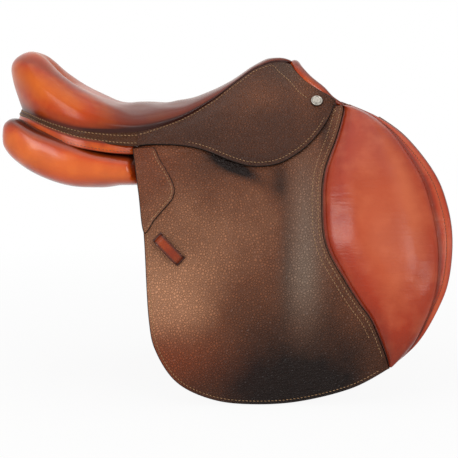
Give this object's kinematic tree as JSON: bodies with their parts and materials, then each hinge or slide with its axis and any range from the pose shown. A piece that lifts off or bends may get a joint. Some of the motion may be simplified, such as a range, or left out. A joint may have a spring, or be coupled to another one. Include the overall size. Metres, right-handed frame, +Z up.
{
  "type": "jumping saddle",
  "caption": "Close-contact jumping saddle with a padded leather seat, lifting skirts and flaps, padded knee pads, girth billets, stirrup bars with safety catches and cushioned panels.",
  "frame": {"origin": "on the centreline at the level where the panels rest on the horse, below the seat's middle", "axes": "+X to the horse's head, +Y to its left, +Z up"},
  "size_m": [0.625, 0.4058, 0.4802],
  "materials": {
    "orange_leather": "smooth waxed",
    "panel_leather": "smooth glossy",
    "nickel": "polished nickel",
    "grained_leather": "pebble grained",
    "under_leather": "smooth",
    "strap_leather": "waxed",
    "foam": "matte foam",
    "web": "woven linen",
    "wood": "raw laminate",
    "steel": "forged"
  },
  "bodies": {
    "saddle": {"saddle_tree": "wood", "head_plate": "steel", "tree_springs": "steel", "spring_rivets": "steel", "stirrup_bar_left": "steel", "stirrup_bar_right": "steel", "bar_rivets": "steel", "catch_pins": "steel", "straining_web": "web", "girth_web_front": "web", "girth_web_middle": "web", "girth_web_rear": "web", "seat_foam": "foam", "seat_cover": "orange_leather", "cantle_strip": "grained_leather", "rear_facing": "orange_leather", "pommel_facing": "orange_leather", "panel_left": "panel_leather", "panel_right": "panel_leather", "panel_channel": "panel_leather", "sweat_flap_left": "under_leather", "sweat_flap_right": "under_leather", "skirt_top_left": "grained_leather", "skirt_top_right": "grained_leather", "skirt_nails": "nickel"},
    "flap_left": {"flap_left": "under_leather", "grip_left": "grained_leather", "knee_foam_left": "foam", "knee_pad_left": "orange_leather", "flap_patch_left": "grained_leather", "keeper_left": "orange_leather"},
    "skirt_left": {"skirt_left": "grained_leather"},
    "billet_front_left": {"billet_front_left": "strap_leather"},
    "billet_middle_left": {"billet_middle_left": "strap_leather"},
    "billet_rear_left": {"billet_rear_left": "strap_leather"},
    "bar_catch_left": {"bar_catch_left": "steel"},
    "flap_right": {"flap_right": "under_leather", "grip_right": "grained_leather", "knee_foam_right": "foam", "knee_pad_right": "orange_leather", "flap_patch_right": "grained_leather", "keeper_right": "orange_leather"},
    "skirt_right": {"skirt_right": "grained_leather"},
    "billet_front_right": {"billet_front_right": "strap_leather"},
    "billet_middle_right": {"billet_middle_right": "strap_leather"},
    "billet_rear_right": {"billet_rear_right": "strap_leather"},
    "bar_catch_right": {"bar_catch_right": "steel"}
  },
  "joints": [
    {"name": "flap_lift_left", "type": "hinge", "parent": "saddle", "child": "flap_left", "pos_m": [0.013, 0.097, 0.086], "axis": [0.9703, -0.1424, 0.1956], "range_deg": [0, 75]},
    {"name": "skirt_lift_left", "type": "hinge", "parent": "flap_left", "child": "skirt_left", "pos_m": [0.013, 0.097, 0.086], "axis": [0.9703, -0.1424, 0.1956], "range_deg": [0, 50]},
    {"name": "swing_front_left", "type": "hinge", "parent": "saddle", "child": "billet_front_left", "pos_m": [-0.00599, 0.09016, 0.06217], "axis": [0, 0.827, 0.5621], "range_deg": [-5, 5]},
    {"name": "swing_middle_left", "type": "hinge", "parent": "saddle", "child": "billet_middle_left", "pos_m": [-0.04799, 0.10198, 0.0537], "axis": [0, 0.8423, 0.539], "range_deg": [-5, 5]},
    {"name": "swing_rear_left", "type": "hinge", "parent": "saddle", "child": "billet_rear_left", "pos_m": [-0.08999, 0.10117, 0.04523], "axis": [0, 0.8497, 0.5273], "range_deg": [-5, 5]},
    {"name": "catch_left", "type": "hinge", "parent": "saddle", "child": "bar_catch_left", "pos_m": [0.02335, 0.06632, 0.09705], "axis": [0, 1, 0], "range_deg": [0, 30]},
    {"name": "flap_lift_right", "type": "hinge", "parent": "saddle", "child": "flap_right", "pos_m": [0.013, -0.097, 0.086], "axis": [-0.9703, -0.1424, -0.1956], "range_deg": [0, 75]},
    {"name": "skirt_lift_right", "type": "hinge", "parent": "flap_right", "child": "skirt_right", "pos_m": [0.013, -0.097, 0.086], "axis": [-0.9703, -0.1424, -0.1956], "range_deg": [0, 50]},
    {"name": "swing_front_right", "type": "hinge", "parent": "saddle", "child": "billet_front_right", "pos_m": [-0.00599, -0.09016, 0.06217], "axis": [0, -0.827, 0.5621], "range_deg": [-5, 5]},
    {"name": "swing_middle_right", "type": "hinge", "parent": "saddle", "child": "billet_middle_right", "pos_m": [-0.04799, -0.10198, 0.0537], "axis": [0, -0.8423, 0.539], "range_deg": [-5, 5]},
    {"name": "swing_rear_right", "type": "hinge", "parent": "saddle", "child": "billet_rear_right", "pos_m": [-0.08999, -0.10117, 0.04523], "axis": [0, -0.8497, 0.5273], "range_deg": [-5, 5]},
    {"name": "catch_right", "type": "hinge", "parent": "saddle", "child": "bar_catch_right", "pos_m": [0.02335, -0.06632, 0.09705], "axis": [0, 1, 0], "range_deg": [0, 30]}
  ]
}
